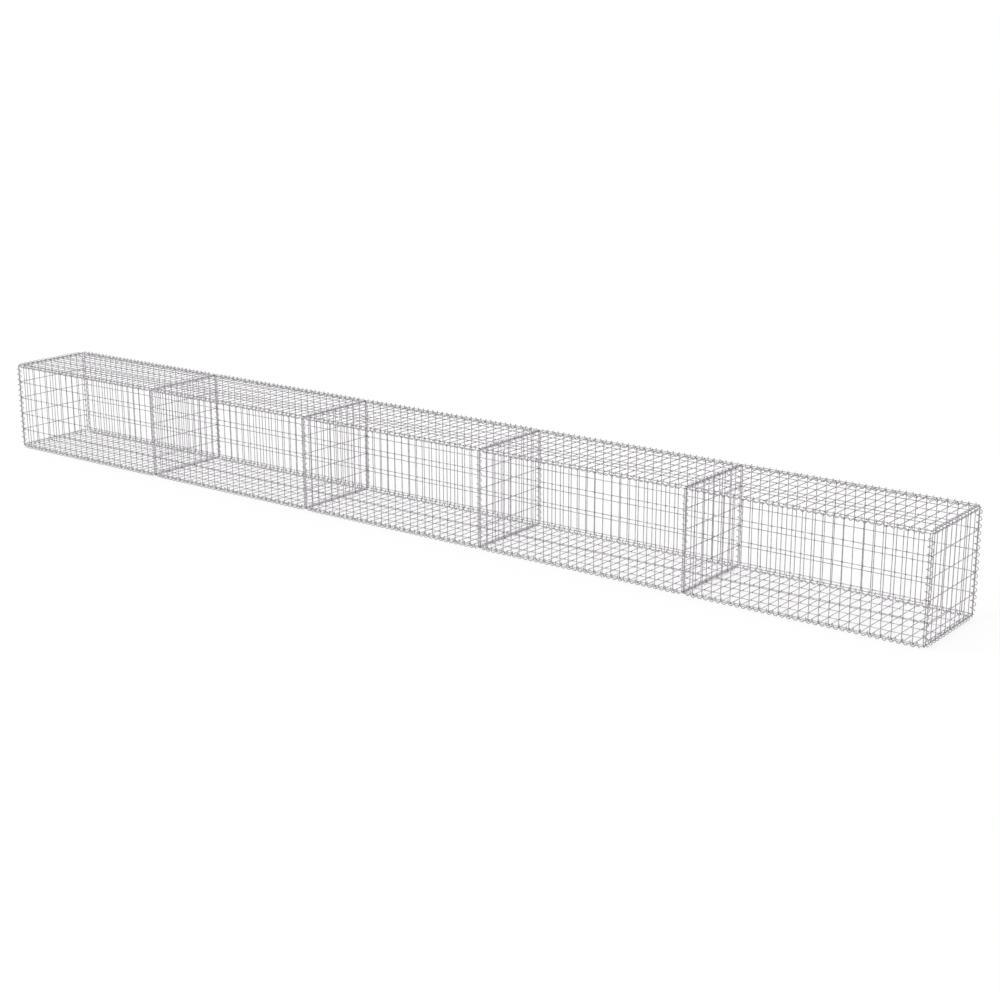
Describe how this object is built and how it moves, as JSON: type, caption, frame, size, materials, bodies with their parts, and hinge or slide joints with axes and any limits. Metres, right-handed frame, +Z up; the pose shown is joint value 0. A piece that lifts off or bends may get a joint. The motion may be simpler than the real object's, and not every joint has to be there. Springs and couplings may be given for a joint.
{
  "type": "gabion wall",
  "caption": "Long empty gabion wall: boxes of welded wire mesh in a row, divided into bays, lidded, and laced along every edge with spiral wire binders.",
  "frame": {"origin": "on the ground, under the middle of the wall", "axes": "+X along the wall, -Y is the front, +Z up"},
  "size_m": [6.0698, 0.541, 0.5409],
  "materials": {
    "mesh_wire": "hot-dip galvanised round wire, welded at every crossing",
    "binder_wire": "galvanised spring wire wound into an open spiral"
  },
  "bodies": {
    "root": {"back_panel_1": "mesh_wire", "back_panel_2": "mesh_wire", "back_panel_3": "mesh_wire", "back_panel_4": "mesh_wire", "back_panel_5": "mesh_wire", "base_panel_1": "mesh_wire", "base_panel_2": "mesh_wire", "base_panel_3": "mesh_wire", "base_panel_4": "mesh_wire", "base_panel_5": "mesh_wire", "divider_1": "mesh_wire", "divider_2": "mesh_wire", "divider_3": "mesh_wire", "divider_4": "mesh_wire", "divider_binders_1": "binder_wire", "divider_binders_2": "binder_wire", "divider_binders_3": "binder_wire", "divider_binders_4": "binder_wire", "edge_binders_1": "binder_wire", "edge_binders_2": "binder_wire", "edge_binders_3": "binder_wire", "edge_binders_4": "binder_wire", "edge_binders_5": "binder_wire", "end_binders_left": "binder_wire", "end_binders_right": "binder_wire", "end_panel_left": "mesh_wire", "end_panel_right": "mesh_wire", "front_panel_1": "mesh_wire", "front_panel_2": "mesh_wire", "front_panel_3": "mesh_wire", "front_panel_4": "mesh_wire", "front_panel_5": "mesh_wire", "lid_1": "mesh_wire", "lid_2": "mesh_wire", "lid_3": "mesh_wire", "lid_4": "mesh_wire", "lid_5": "mesh_wire"}
  },
  "joints": []
}
